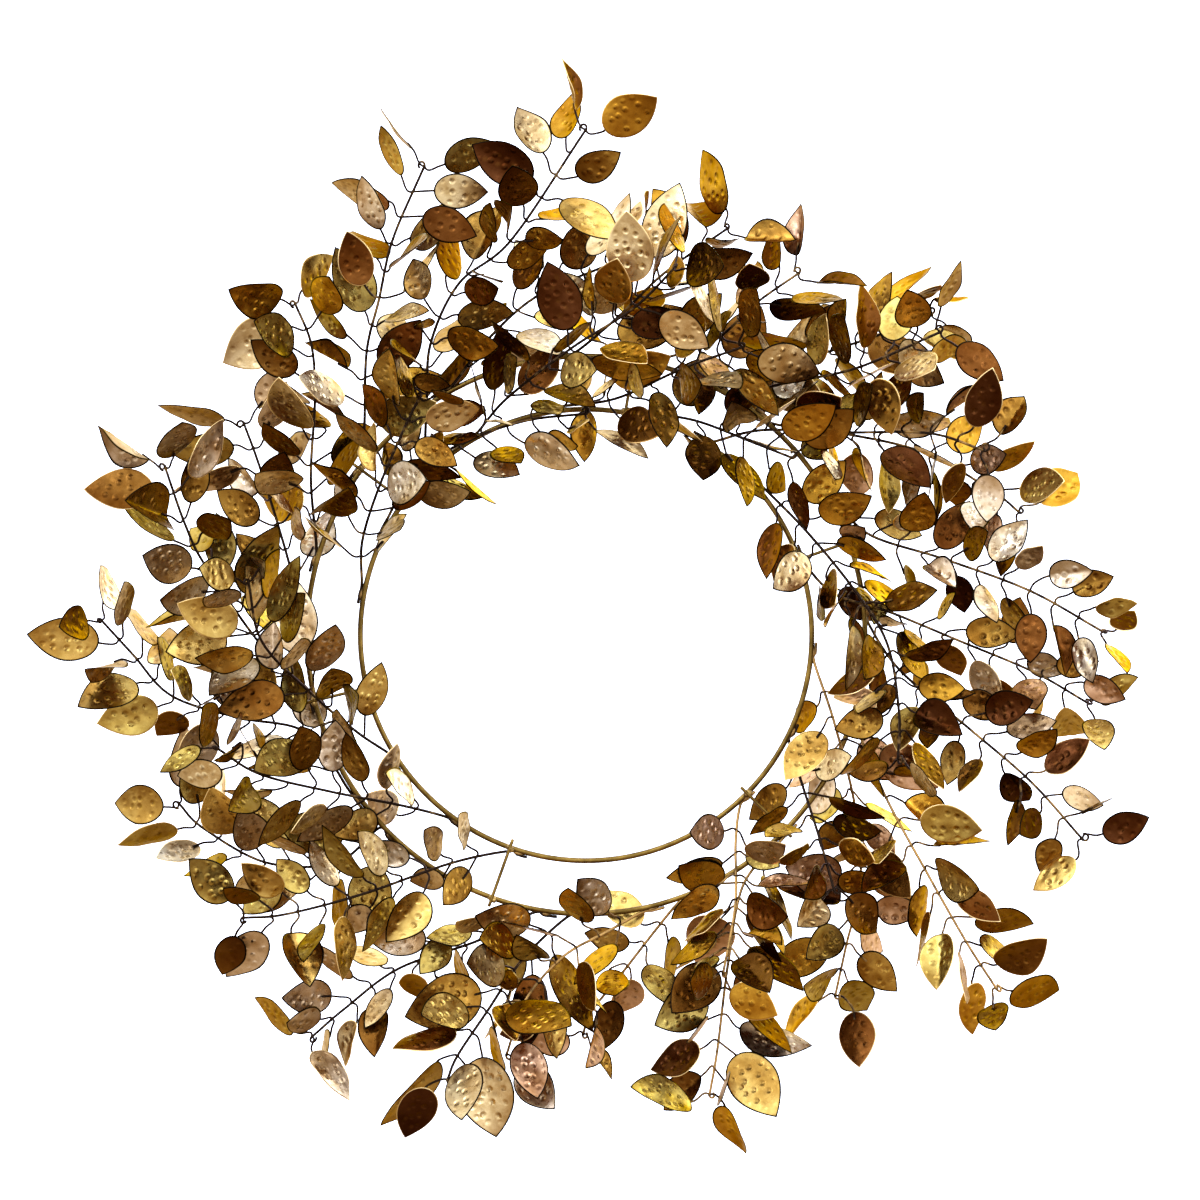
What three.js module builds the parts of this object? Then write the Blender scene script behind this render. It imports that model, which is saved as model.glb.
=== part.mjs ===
// A metal wreath: a flat frame of two wire rings joined by six cross wires, and leaf sprays
// welded to the rings. Millimetres, +Z up. The rings lie in the XZ plane, the front faces -Y,
// and the origin is the point where a nail carries the outer ring.

import * as THREE from 'three';

// Frame
const INNER_RING_RADIUS = 144; // to the middle of the wire, as is OUTER_RING_RADIUS
const OUTER_RING_RADIUS = 178;
const RING_WIRE_RADIUS = 1.8;
const RING_STEPS = 48; // straight stretches in a ring
const RING_SIDES = 6; // faces round its wire
const CROSS_WIRE_RADIUS = 1.1;
const CROSS_WIRE_END = 3.5; // how far each end stands past the rings' wires
const CROSS_WIRE_SIDES = 6;
const CROSS_WIRE_ANGLES = [80, 19.5, -44.5, -109.7, -166.4, 143.7]; // degrees from +X towards +Z
const WELD_GAP = 0.3; // between wires that the real object welds together

// Sprays
const STEM_RADIUS = 0.75;
const PETIOLE_RADIUS = 0.5;
const FOOT_ANGLE = 5; // degrees of the ring that a stem's foot lies along
const LEAF_SPACING = 17; // along the stem, from one leaf pair to the next
const BARE_STATIONS = 2; // spacings at the foot that carry no leaf
const MOST_TILT = 1.1; // radians that a leaf pair turns out of the wreath's plane
const PETIOLE_LEAN = 0.5; // forward along the stem, for each unit to the side
const PETIOLE_LENGTH = [11, 16]; // shortest and longest
const LEAF_LENGTH = [31, 46];
const LEAF_WIDTH_SHARE = [0.58, 0.7]; // of its length
const LEAF_THICKNESS = 0.9; // at the midrib
const TIP_POWER = 1.9; // how full a leaf is between its widest place and its tip
const LEAF_LEAN = [0.25, 1.0]; // forward along the stem, for each unit to the side
const LEAF_STRAY = [-0.5, 0.5]; // radians that a leaf swings in the wreath's plane
const LEAF_DEPTH = [-0.6, 0.45]; // towards the front and the back
const MOST_ROLL = 1.25; // radians that a leaf's face turns away from the front
const WIDEST_AT = 0.42; // share of the length from the base

// How a leaf's place is chosen, and how far it stays from everything else
const TRIES = 20;
const TRY_SWAY = 0.24; // radians to one side and the other, more with each two tries
const TRY_ROLL = 0.3; // radians more with each try
const TRY_SHRINK = 0.02; // of its length, with each try
const CLEARANCE = 0.95;
const OPEN_CENTRE = { x: 6, z: -26, radius: 110 }; // a disc that no leaf reaches into
// Below the outer ring, where the nail goes: a row of spots that is kept free from front to back
const NAIL = { drop: 13, front: -8, back: 40, reach: 7, radius: 4 };

// Each spray: the ring that it is welded to, the angle where its foot ends in degrees from +X
// towards +Z, the size of its leaves, and the points that its stem passes after that, each
// [x, y, z] from the rings' centre. All stems leave the rings clockwise, as seen from the front.
const INNER = INNER_RING_RADIUS;
const OUTER = OUTER_RING_RADIUS;
const SPRAYS = [
  [OUTER, 142, 1.0, [-141, -6, 135], [-139, -16, 180], [-131, -22, 212], [-122, -26, 250], [-102, -28, 296]],
  [INNER, 135, 1.0, [-101, -14, 150], [-98, -24, 185], [-80, -30, 222], [-47, -34, 249], [0, -38, 318]],
  [OUTER, 162, 1.1, [-175, -8, 100], [-172, -14, 150], [-174, -18, 184], [-184, -22, 210]],
  [OUTER, 178, 1.0, [-190, 10, 45], [-203, 14, 88], [-212, 16, 115], [-220, 18, 136]],
  [OUTER, -169, 1.14, [-205, -12, -8], [-240, -30, 44], [-252, -38, 70], [-264, -44, 106]],
  [OUTER, -147, 1.0, [-178, -8, -62], [-221, -20, -52], [-262, -26, -38], [-286, -28, -12], [-306, -30, 10]],
  [INNER, -128, 0.95, [-118, -12, -108], [-160, -26, -99], [-205, -40, -87], [-232, -46, -70]],
  [INNER, -149, 1.0, [-145, -10, -62], [-172, -26, -38], [-203, -44, -4], [-211, -52, 34]],
  [OUTER, -137, 1.0, [-160, 9, -146], [-205, 12, -146], [-246, 16, -124], [-262, 18, -108]],
  [INNER, -110, 0.95, [-86, -10, -145], [-142, -22, -164], [-190, -30, -176], [-216, -32, -178]],
  [OUTER, -101, 0.95, [-70, 8, -196], [-120, 14, -214], [-155, 16, -240], [-176, 14, -258]],
  [OUTER, -94, 1.22, [-40, -20, -205], [-62, -42, -236], [-80, -58, -262], [-86, -66, -276]],
  [OUTER, -79, 1.1, [12, -14, -189], [-14, -22, -203], [-38, -30, -230], [-50, -34, -264]],
  [OUTER, -71, 0.95, [45, 6, -188], [22, 10, -218], [3, 12, -242], [-2, 12, -256]],
  [OUTER, -47, 1.08, [100, -8, -159], [90, -20, -208], [83, -26, -262], [78, -28, -290]],
  [INNER, -48, 0.95, [95, -14, -131], [94, -34, -170], [86, -46, -212]],
  [INNER, -28, 0.9, [138, -12, -97], [148, -28, -130], [156, -38, -160]],
  [INNER, -7, 0.95, [158, -8, -56], [172, 6, -110], [176, 14, -158], [167, 18, -200], [160, 18, -232]],
  [OUTER, -18, 1.0, [190, -12, -102], [217, -28, -153], [240, -38, -194], [258, -42, -222]],
  [INNER, 41, 0.95, [140, -12, 66], [170, -26, 28], [190, -34, -6], [197, -38, -50], [196, -40, -78]],
  [INNER, 18, 0.82, [158, -11, 26], [192, -10, 15], [239, 4, -4], [287, 10, -24], [322, 12, -44]],
  [OUTER, 29, 0.82, [180, -10, 64], [227, -24, 48], [280, -32, 28], [326, -36, 2]],
  [OUTER, 2, 0.8, [200, -12, -23], [241, -26, -58], [280, -36, -92], [312, -40, -128]],
  [OUTER, 48, 0.88, [165, -8, 128], [215, -10, 116], [258, -8, 92], [276, -6, 78]],
  [INNER, 57, 0.9, [112, -16, 130], [165, -30, 128], [216, -40, 127], [250, -44, 116]],
  [OUTER, 66, 1.0, [110, 10, 170], [150, 14, 180], [192, 16, 194], [222, 16, 206]],
  [OUTER, 76, 1.05, [80, -14, 186], [108, -30, 210], [134, -36, 228]],
  [OUTER, 92, 1.15, [20, -8, 202], [50, -14, 230], [90, -18, 258]],
  [INNER, 167, 0.95, [-142, -12, 60], [-130, -28, 95], [-112, -36, 135], [-104, -40, 150]],
  [INNER, 118, 1.0, [-50, -20, 150], [-10, -38, 180], [30, -50, 205], [56, -58, 230]],
  [INNER, 95, 1.05, [20, -24, 150], [62, -46, 168], [98, -60, 180]],
  [OUTER, 118, 1.0, [-62, 8, 190], [-30, 12, 218], [20, 12, 240], [40, 8, 256]],
  [INNER, 150, 0.95, [-112, -10, 98], [-82, -20, 120], [-40, -26, 135], [0, -28, 140]],
  [INNER, 75, 1.0, [70, -14, 136], [105, -26, 122], [130, -30, 112]],
  [OUTER, 58, 1.08, [128, -22, 160], [170, -40, 168], [222, -50, 190]],
];

const DEPTH_AXIS = new THREE.Vector3(0, 1, 0);
const FORWARD = new THREE.Vector3(0, -1, 0); // towards the viewer

const ringMetal = new THREE.MeshStandardMaterial({ color: 0x7a5f2a, roughness: 0.4, metalness: 1 });
const leafMetal = new THREE.MeshStandardMaterial({ color: 0xb08a45, roughness: 0.38, metalness: 1 });

// A number from 0 to 1 that is always the same for the same three whole numbers.
function chance(spray, place, use) {
  const wave = Math.sin(spray * 12.9898 + place * 78.233 + use * 37.719) * 43758.5453;
  return wave - Math.floor(wave);
}

function between([low, high], share) {
  return low + (high - low) * share;
}

function onRing(radius, degrees, depth = 0) {
  const angle = THREE.MathUtils.degToRad(degrees);
  return new THREE.Vector3(radius * Math.cos(angle), depth, radius * Math.sin(angle));
}

// A spray's stem: a foot along the outside of its ring, then the points of its route.
function stemCurve([radius, angle, , ...route]) {
  const foot = radius + RING_WIRE_RADIUS + WELD_GAP + STEM_RADIUS;
  return new THREE.CatmullRomCurve3(
    [
      onRing(foot, angle + FOOT_ANGLE),
      onRing(foot, angle + FOOT_ANGLE / 2),
      onRing(foot, angle),
      ...route.map((point) => new THREE.Vector3(...point)),
    ],
    false,
    'catmullrom',
    0.5,
  );
}

// Half a leaf's width at a share of its length: an ellipse below the widest place, then an
// arch that comes to a point.
function halfWidth(leaf, share) {
  if (share <= 0 || share >= 1) return 0;
  const low = (WIDEST_AT - share) / WIDEST_AT;
  const high = (share - WIDEST_AT) / (1 - WIDEST_AT);
  return (leaf.width / 2) * (share < WIDEST_AT ? Math.sqrt(1 - low * low) : 1 - high ** TIP_POWER);
}

// One leaf and its petiole. turn is the direction in which the pair's wire crosses the stem,
// and attempt moves the leaf a little further from its first place each time.
function makeLeaf(spray, place, root, along, turn, attempt) {
  const pick = (range, use) => between(range, chance(spray, place, use));
  const sway = Math.ceil(attempt / 2) * (attempt % 2 ? TRY_SWAY : -TRY_SWAY);
  const axis = turn.clone().applyAxisAngle(along, sway).addScaledVector(along, pick(LEAF_LEAN, 3));
  axis.normalize();
  axis.applyAxisAngle(FORWARD, pick(LEAF_STRAY, 9));
  axis.y += pick(LEAF_DEPTH, 4);
  axis.normalize();
  const roll = pick([-1, 1], 5);
  const normal = FORWARD.clone().addScaledVector(axis, -FORWARD.dot(axis)).normalize();
  normal.applyAxisAngle(axis, MOST_ROLL * roll + TRY_ROLL * attempt * Math.sign(roll));
  const length = pick(LEAF_LENGTH, 6) * SPRAYS[spray][2] * (1 - TRY_SHRINK * attempt);
  const petiole = turn.clone().addScaledVector(along, PETIOLE_LEAN).normalize();
  const base = root.clone().addScaledVector(petiole, pick(PETIOLE_LENGTH, 7));
  return {
    spray,
    place,
    root,
    base,
    axis,
    normal,
    across: axis.clone().cross(normal),
    length,
    width: length * pick(LEAF_WIDTH_SHARE, 8),
    middle: base.clone().addScaledVector(axis, length / 2),
  };
}

// The straight pieces that stand for a leaf in the clearance test: its edge and its midrib.
function leafLines(leaf) {
  const shares = [0.12, WIDEST_AT, 0.72]; // of the length, where the edge's corners are
  const point = (share, way) =>
    leaf.base
      .clone()
      .addScaledVector(leaf.axis, share * leaf.length)
      .addScaledVector(leaf.across, way * halfWidth(leaf, share));
  const edge = [
    leaf.base,
    ...shares.map((share) => point(share, 1)),
    point(1, 0),
    ...shares.toReversed().map((share) => point(share, -1)),
    leaf.base,
  ];
  const lines = edge.slice(1).map((end, i) => [edge[i], end]);
  lines.push([leaf.base, point(1, 0)]);
  return lines;
}

// Whether a straight line comes within the margin of a leaf's blade.
function lineMeetsBlade([start, end], leaf, margin) {
  const from = start.clone().sub(leaf.base);
  const to = end.clone().sub(leaf.base);
  const a = from.dot(leaf.normal);
  const b = to.dot(leaf.normal);
  if (a * b > 0 && Math.min(Math.abs(a), Math.abs(b)) > margin) return false;
  const share = a * b < 0 ? a / (a - b) : Math.abs(a) < Math.abs(b) ? 0 : 1;
  const meeting = from.lerp(to, share);
  const along = meeting.dot(leaf.axis);
  if (along < -margin || along > leaf.length + margin) return false;
  const place = THREE.MathUtils.clamp(along / leaf.length, 0.05, 0.95);
  return Math.abs(meeting.dot(leaf.across)) < halfWidth(leaf, place) + margin;
}

// The shortest distance between two straight lines, each [start, end].
function lineDistance([p, pEnd], [q, qEnd]) {
  const u = pEnd.clone().sub(p);
  const v = qEnd.clone().sub(q);
  const w = p.clone().sub(q);
  const uu = u.dot(u);
  const uv = u.dot(v);
  const vv = v.dot(v);
  const uw = u.dot(w);
  const vw = v.dot(w);
  const spread = uu * vv - uv * uv;
  let s = spread > 1e-9 ? THREE.MathUtils.clamp((uv * vw - vv * uw) / spread, 0, 1) : 0;
  const t = THREE.MathUtils.clamp((uv * s + vw) / vv, 0, 1);
  s = THREE.MathUtils.clamp((uv * t - uw) / uu, 0, 1);
  return w.addScaledVector(u, s).addScaledVector(v, -t).length();
}

function inOpenCentre(point) {
  return Math.hypot(point.x - OPEN_CENTRE.x, point.z - OPEN_CENTRE.z) < OPEN_CENTRE.radius;
}

// Whether a leaf is clear of the wires and the leaves that are already there.
function isFree(leaf, spray, wires, leaves) {
  leaf.lines = leafLines(leaf);
  if (leaf.lines.some(([start]) => inOpenCentre(start))) return false;
  const petiole = [leaf.root, leaf.base];
  const near = leaf.length;
  for (const wire of wires) {
    if (leaf.middle.distanceTo(wire.middle) > near + wire.reach) continue;
    if (lineMeetsBlade(wire.line, leaf, wire.radius + CLEARANCE)) return false;
    if (wire.spray === spray) continue;
    if (lineDistance(petiole, wire.line) < wire.radius + CLEARANCE) return false;
  }
  for (const other of leaves) {
    if (leaf.middle.distanceTo(other.middle) > near + other.length) continue;
    if (leaf.lines.some((line) => lineMeetsBlade(line, other, CLEARANCE))) return false;
    if (other.lines.some((line) => lineMeetsBlade(line, leaf, CLEARANCE))) return false;
    if (lineMeetsBlade(petiole, other, CLEARANCE)) return false;
    if (lineMeetsBlade([other.root, other.base], leaf, CLEARANCE)) return false;
    if (other.spray === spray) continue;
    if (lineDistance(petiole, [other.root, other.base]) < 2 * CLEARANCE) return false;
  }
  return true;
}

// The first place that is free, or nothing.
function placeLeaf(spray, place, root, along, turn, wires, leaves) {
  for (let attempt = 0; attempt < TRIES; attempt++) {
    const leaf = makeLeaf(spray, place, root, along, turn, attempt);
    if (isFree(leaf, spray, wires, leaves)) {
      leaves.push(leaf);
      return;
    }
  }
}

// The wires between successive points, as lines that leaves keep clear of.
function wiresAlong(points, radius, spray) {
  return points.slice(1).map((end, i) => ({
    line: [points[i], end],
    middle: points[i].clone().lerp(end, 0.5),
    reach: points[i].distanceTo(end) / 2 + radius,
    radius,
    spray,
  }));
}

// The way along the stem at each station, and the way its leaf pair's wire crosses it.
function stemFrames(spray, curve, count) {
  return Array.from({ length: count }, (_, i) => {
    const along = curve.getTangentAt(i / (count - 1));
    const tilt = between([-1, 1], chance(spray, i, 1)) * MOST_TILT;
    const turn = along.clone().cross(DEPTH_AXIS).normalize().applyAxisAngle(along, tilt);
    return { along, turn };
  });
}

// The rings and the cross wires, as lines that leaves keep clear of.
function frameWires() {
  const steps = Array.from({ length: RING_STEPS + 1 }, (_, i) => (i * 360) / RING_STEPS);
  const rings = [INNER_RING_RADIUS, OUTER_RING_RADIUS].flatMap((radius) => {
    const points = steps.map((degrees) => onRing(radius, degrees));
    return wiresAlong(points, RING_WIRE_RADIUS, 'frame');
  });
  const ends = [INNER_RING_RADIUS - CROSS_WIRE_END, OUTER_RING_RADIUS + CROSS_WIRE_END];
  const crossWires = CROSS_WIRE_ANGLES.flatMap((degrees) => {
    const points = ends.map((radius) => crossWirePoint(radius, degrees));
    return wiresAlong(points, CROSS_WIRE_RADIUS, 'frame');
  });
  return [...rings, ...crossWires];
}

// The place of the nail, as a bundle of lines that leaves keep clear of.
function nailPlace() {
  const height = OUTER_RING_RADIUS - RING_WIRE_RADIUS - NAIL.drop;
  const offsets = [-NAIL.reach, 0, NAIL.reach];
  return offsets.flatMap((x) =>
    offsets.flatMap((z) => {
      const ends = [NAIL.front, NAIL.back].map((y) => new THREE.Vector3(x, y, height + z));
      return wiresAlong(ends, NAIL.radius, 'nail');
    }),
  );
}

// Every leaf pair of one spray.
function growLeaves(spray, stem, wires, leaves) {
  for (let i = BARE_STATIONS; i < stem.stations.length; i++) {
    const { along, turn } = stem.frames[i];
    placeLeaf(spray, 2 * i, stem.stations[i], along, turn, wires, leaves);
    placeLeaf(spray, 2 * i + 1, stem.stations[i], along, turn.clone().negate(), wires, leaves);
  }
}

// Four corners round a middle point, in the order that walls and tips expect: anticlockwise, seen
// from the way the body grows. u, v and the way it grows are a right-handed set.
function addCorners(body, middle, u, v, places) {
  return places.map(([uReach, vReach]) => {
    const corner = middle.clone().addScaledVector(u, uReach).addScaledVector(v, vReach);
    return body.points.push(corner) - 1;
  });
}

// The corners of the second loop, turned so that each faces its nearest one in the first.
function matched(body, first, second) {
  const offsets = (loop) => {
    const corners = loop.map((i) => body.points[i]);
    const middle = corners.reduce((sum, corner) => sum.add(corner), new THREE.Vector3());
    middle.divideScalar(loop.length);
    return corners.map((corner) => corner.clone().sub(middle));
  };
  const a = offsets(first);
  const b = offsets(second);
  const fit = (shift) => a.reduce((sum, offset, k) => sum + offset.dot(b[(k + shift) % 4]), 0);
  const best = [0, 1, 2, 3].reduce((top, shift) => (fit(shift) > fit(top) ? shift : top));
  return second.map((_, k) => second[(k + best) % 4]);
}

// Two triangles on each side between two loops of corners, except on the sides left open.
function addWalls(body, first, second, open = []) {
  const far = matched(body, first, second);
  for (let k = 0; k < 4; k++) {
    if (open.includes(k)) continue;
    const next = (k + 1) % 4;
    body.faces.push(first[k], first[next], far[next]);
    body.faces.push(first[k], far[next], far[k]);
  }
}

// A leaf that grows out of a loop of corners: petiole, widest place, tip.
function addLeafBody(body, root, leaf) {
  const { base, axis, normal, across, length, width } = leaf;
  const diamond = (along, depth, reach) =>
    addCorners(body, base.clone().addScaledVector(axis, along), normal, across, [
      [depth, 0],
      [0, reach],
      [-depth, 0],
      [0, -reach],
    ]);
  const low = diamond(0, PETIOLE_RADIUS, PETIOLE_RADIUS);
  const wide = diamond(WIDEST_AT * length, LEAF_THICKNESS / 2, width / 2);
  const tip = body.points.push(base.clone().addScaledVector(axis, length)) - 1;
  addWalls(body, root, low);
  addWalls(body, low, wide);
  for (let k = 0; k < 4; k++) body.faces.push(wide[k], wide[(k + 1) % 4], tip);
}

// One square section of a stem. Its first and last corners face the way the leaf pair turns.
function addSection(body, middle, along, turn) {
  const half = (STEM_RADIUS * Math.sqrt(Math.PI)) / 2; // a square of the round wire's area
  const places = [
    [half, half],
    [-half, half],
    [-half, -half],
    [half, -half],
  ];
  return addCorners(body, middle, turn, along.clone().cross(turn), places);
}

// A spray as one closed body: the stem grows from section to section, and at each leaf pair
// two of its sides open into petioles.
function sprayGeometry(stem, own) {
  const body = { points: [], faces: [] };
  let lower = null;
  stem.stations.forEach((middle, i) => {
    const { along, turn } = stem.frames[i];
    const [right, left] = [2 * i, 2 * i + 1].map((place) => own.find((leaf) => leaf.place === place));
    const reach = right || left ? PETIOLE_RADIUS : 0;
    const near = addSection(body, middle.clone().addScaledVector(along, -reach), along, turn);
    if (lower) addWalls(body, lower, near);
    else body.faces.push(near[0], near[2], near[1], near[0], near[3], near[2]);
    lower = near;
    if (!reach) return;
    const far = addSection(body, middle.clone().addScaledVector(along, reach), along, turn);
    addWalls(body, near, far, [...(left ? [1] : []), ...(right ? [3] : [])]);
    if (right) addLeafBody(body, [near[3], near[0], far[0], far[3]], right);
    if (left) addLeafBody(body, [near[1], near[2], far[2], far[1]], left);
    lower = far;
  });
  body.faces.push(lower[0], lower[1], lower[2], lower[0], lower[2], lower[3]);
  const geometry = new THREE.BufferGeometry().setFromPoints(body.points);
  geometry.setIndex(body.faces);
  geometry.computeVertexNormals();
  return geometry;
}

function addMesh(group, name, geometry, material) {
  const mesh = new THREE.Mesh(geometry, material);
  mesh.name = name;
  group.add(mesh);
  return mesh;
}

function addRing(group, name, radius) {
  const profile = [];
  for (let i = 0; i <= RING_SIDES; i++) {
    const angle = ((i % RING_SIDES) + 0.5) * ((2 * Math.PI) / RING_SIDES);
    profile.push(
      new THREE.Vector2(radius + RING_WIRE_RADIUS * Math.cos(angle), RING_WIRE_RADIUS * Math.sin(angle)),
    );
  }
  addMesh(group, name, new THREE.LatheGeometry(profile, RING_STEPS), ringMetal);
}

function addCrossWire(group, number, degrees) {
  const reach = RING_WIRE_RADIUS + CROSS_WIRE_END;
  const length = OUTER_RING_RADIUS - INNER_RING_RADIUS + 2 * reach;
  const geometry = new THREE.CylinderGeometry(CROSS_WIRE_RADIUS, CROSS_WIRE_RADIUS, length, CROSS_WIRE_SIDES);
  const wire = addMesh(group, `cross_wire_${number}`, geometry, ringMetal);
  wire.position.copy(crossWirePoint((OUTER_RING_RADIUS + INNER_RING_RADIUS) / 2, degrees));
  wire.rotation.y = Math.PI / 2 - THREE.MathUtils.degToRad(degrees);
  wire.rotation.order = 'YXZ';
  wire.rotation.x = Math.PI / 2;
}

function crossWirePoint(radius, degrees) {
  return onRing(radius, degrees, -(RING_WIRE_RADIUS + WELD_GAP + CROSS_WIRE_RADIUS));
}

const wreath = new THREE.Group();
addRing(wreath, 'inner_ring', INNER_RING_RADIUS);
addRing(wreath, 'outer_ring', OUTER_RING_RADIUS);
CROSS_WIRE_ANGLES.forEach((degrees, i) => addCrossWire(wreath, i + 1, degrees));

const stems = SPRAYS.map((spray, number) => {
  const curve = stemCurve(spray);
  const stations = curve.getSpacedPoints(Math.round(curve.getLength() / LEAF_SPACING));
  return { stations, frames: stemFrames(number, curve, stations.length) };
});

const wires = [
  ...frameWires(),
  ...nailPlace(),
  ...stems.flatMap((stem, number) => wiresAlong(stem.stations, STEM_RADIUS, number)),
];
const leaves = [];
stems.forEach((stem, number) => growLeaves(number, stem, wires, leaves));

stems.forEach((stem, number) => {
  const own = leaves.filter((leaf) => leaf.spray === number);
  const name = `spray_${String(number + 1).padStart(2, '0')}`;
  addMesh(wreath, name, sprayGeometry(stem, own), leafMetal);
});

wreath.position.z = -(OUTER_RING_RADIUS - RING_WIRE_RADIUS);
const group = new THREE.Group();
group.add(wreath);

export default group;
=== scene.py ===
"""The looks of the metal wreath: rounded wires, solder, cupped and bumped leaves, and their metal.

Lengths are in millimetres until a mesh is made. The rings' centre is the zero of the design below,
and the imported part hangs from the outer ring, so every mesh is lowered by HANG_DROP.
"""

import math

import bpy
import numpy as np
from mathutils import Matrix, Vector
from mathutils.bvhtree import BVHTree


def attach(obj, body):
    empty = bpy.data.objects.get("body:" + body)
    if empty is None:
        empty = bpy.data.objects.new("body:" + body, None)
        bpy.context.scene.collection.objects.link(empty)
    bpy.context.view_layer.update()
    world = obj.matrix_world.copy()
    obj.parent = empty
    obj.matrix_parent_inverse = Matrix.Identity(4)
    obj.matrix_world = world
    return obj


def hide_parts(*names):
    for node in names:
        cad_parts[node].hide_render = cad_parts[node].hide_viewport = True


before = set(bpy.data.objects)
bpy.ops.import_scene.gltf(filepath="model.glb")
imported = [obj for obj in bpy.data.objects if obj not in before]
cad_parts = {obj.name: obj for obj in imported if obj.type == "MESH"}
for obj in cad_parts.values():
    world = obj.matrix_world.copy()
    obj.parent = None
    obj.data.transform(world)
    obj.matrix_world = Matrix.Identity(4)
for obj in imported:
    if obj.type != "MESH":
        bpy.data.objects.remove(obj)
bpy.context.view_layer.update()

MM = 0.001

# ---- the design, as in the CAD part

INNER = 144.0
OUTER = 178.0
RING_WIRE_RADIUS = 1.8
RING_STEPS = 48
CROSS_WIRE_RADIUS = 1.1
CROSS_WIRE_END = 3.5
CROSS_WIRE_ANGLES = [80, 19.5, -44.5, -109.7, -166.4, 143.7]
WELD_GAP = 0.3
HANG_DROP = OUTER - RING_WIRE_RADIUS

STEM_RADIUS = 0.75
FOOT_ANGLE = 5
LEAF_SPACING = 17
BARE_STATIONS = 2
MOST_TILT = 1.1
PETIOLE_LEAN = 0.5
PETIOLE_LENGTH = (11, 16)
LEAF_LENGTH = (31, 46)
LEAF_WIDTH_SHARE = (0.58, 0.7)
TIP_POWER = 1.9
LEAF_LEAN = (0.25, 1.0)
LEAF_STRAY = (-0.5, 0.5)
LEAF_DEPTH = (-0.6, 0.45)
MOST_ROLL = 1.25
WIDEST_AT = 0.42

TRIES = 20
TRY_SWAY = 0.24
TRY_ROLL = 0.3
TRY_SHRINK = 0.02
CLEARANCE = 0.95
OPEN_CENTRE = (6, -26)
OPEN_CENTRE_RADIUS = 110
NAIL_DROP = 13
NAIL_DEPTHS = (-8, 40)
NAIL_REACH = 7
NAIL_RADIUS = 4
FRAME_WIRES = -1  # the spray number of wires that belong to no spray

FORWARD = np.array([0.0, -1.0, 0.0])
DEPTH_AXIS = np.array([0.0, 1.0, 0.0])

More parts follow.
